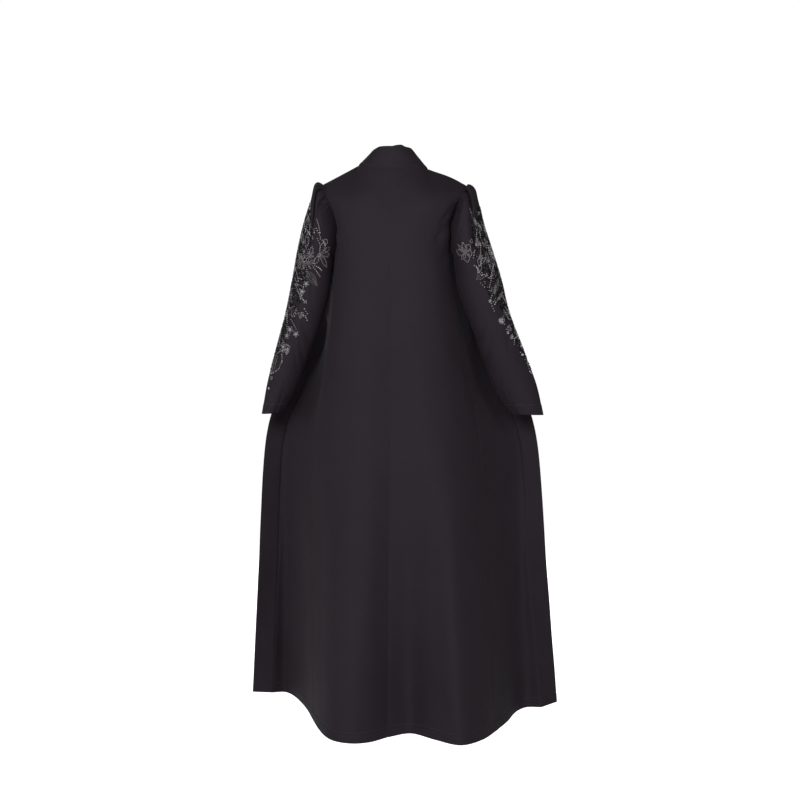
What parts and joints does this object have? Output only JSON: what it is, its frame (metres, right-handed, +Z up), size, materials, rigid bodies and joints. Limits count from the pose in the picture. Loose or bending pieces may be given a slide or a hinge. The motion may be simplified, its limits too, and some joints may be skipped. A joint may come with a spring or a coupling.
{
  "type": "abaya cloak",
  "caption": "Long open-fronted abaya cloak with a standing neck band, gathered sleeve heads and a flared skirt, worn and held open at the sides",
  "frame": {"origin": "centre of the neck opening, at the height of the nape seam", "axes": "+Z up along the wearer, -Y to the wearer's front, +X to the wearer's left"},
  "size_m": [0.8194, 0.4782, 1.4662],
  "materials": {
    "back_cloth": "matt black crepe",
    "front_cloth": "matt black crepe",
    "sleeve_cloth": "matt black crepe with steel-grey bead and thread embroidery",
    "band_cloth": "matt black crepe, folded double"
  },
  "bodies": {
    "root": {"left_back": "back_cloth", "right_back": "back_cloth", "left_front": "front_cloth", "right_front": "front_cloth", "left_sleeve": "sleeve_cloth", "right_sleeve": "sleeve_cloth", "left_band": "band_cloth", "right_band": "band_cloth"}
  },
  "joints": []
}
